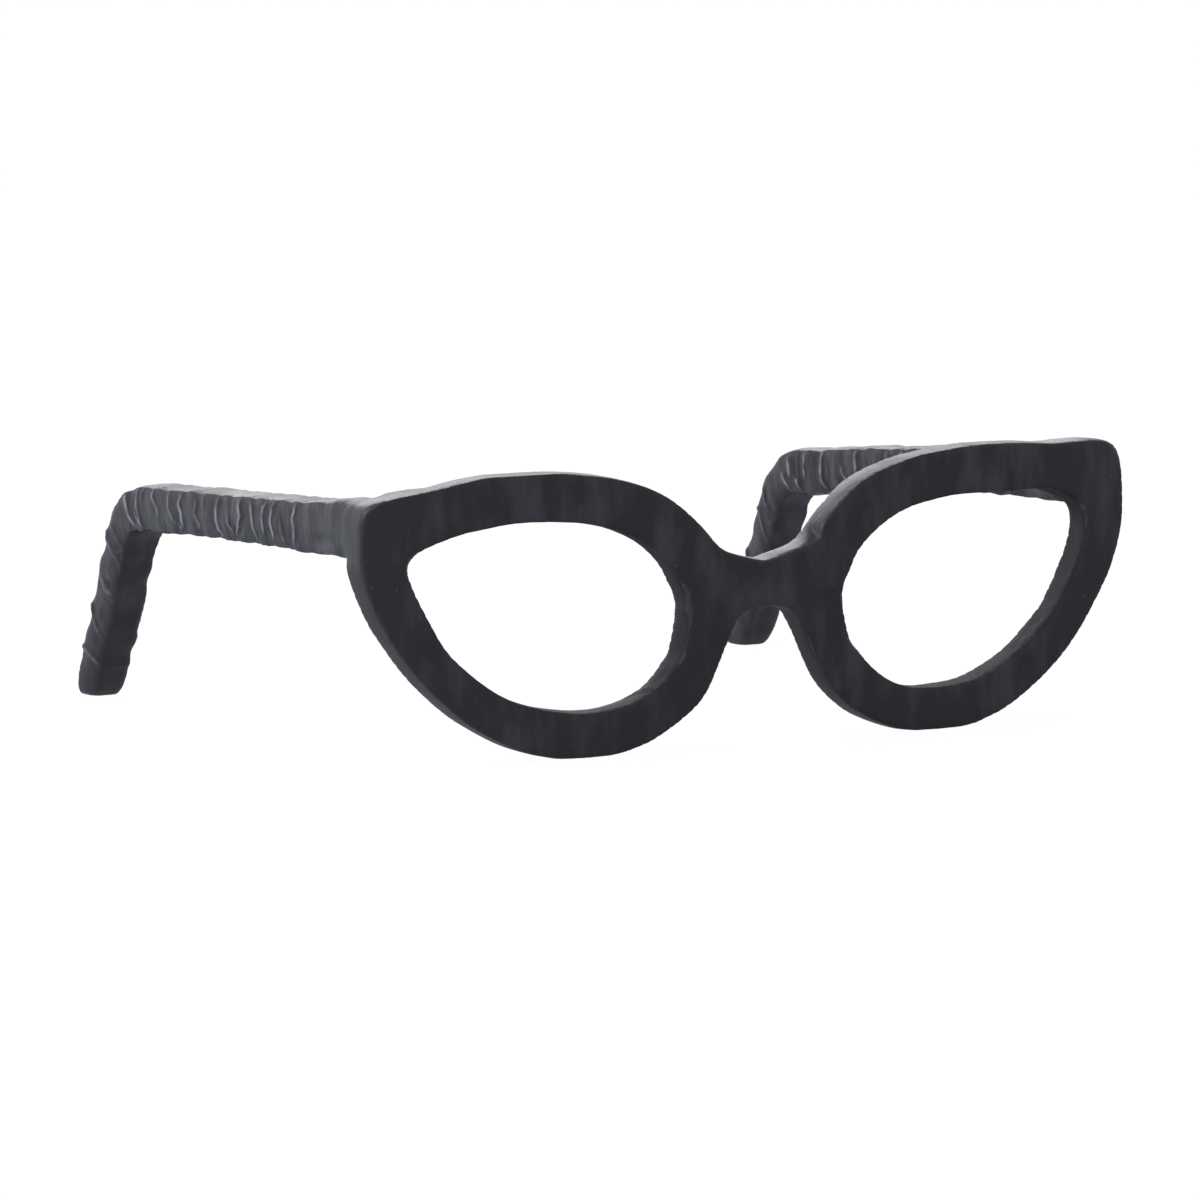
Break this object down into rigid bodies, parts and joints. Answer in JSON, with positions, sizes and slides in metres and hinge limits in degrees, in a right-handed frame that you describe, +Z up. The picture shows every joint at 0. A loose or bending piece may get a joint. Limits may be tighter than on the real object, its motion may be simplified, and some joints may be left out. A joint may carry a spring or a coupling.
{
  "type": "eyeglasses sculpture",
  "caption": "Table-top sculpture of cat-eye glasses: a lensless front with swept corners and an arm with an ear bend on each side, standing on its rims and ear tips.",
  "frame": {"origin": "On the table plane, under the middle of the bounding box", "axes": "X runs across the glasses, Y runs back from the front to the ear tips, Z is up"},
  "size_m": [0.4067, 0.3723, 0.134],
  "materials": {
    "front_casting": "cast resin composite, hand-dressed, waxed black with a soft sheen",
    "arm_casting": "cast resin composite with hand-modelled ridges, rubbed lighter on the crests",
    "inner_steel": "plain drawn round bar"
  },
  "bodies": {
    "root": {"front_frame": "front_casting", "left_temple": "arm_casting", "right_temple": "arm_casting", "left_temple_rod": "inner_steel", "right_temple_rod": "inner_steel", "left_joint_pin": "inner_steel", "right_joint_pin": "inner_steel", "bridge_rod": "inner_steel"}
  },
  "joints": []
}
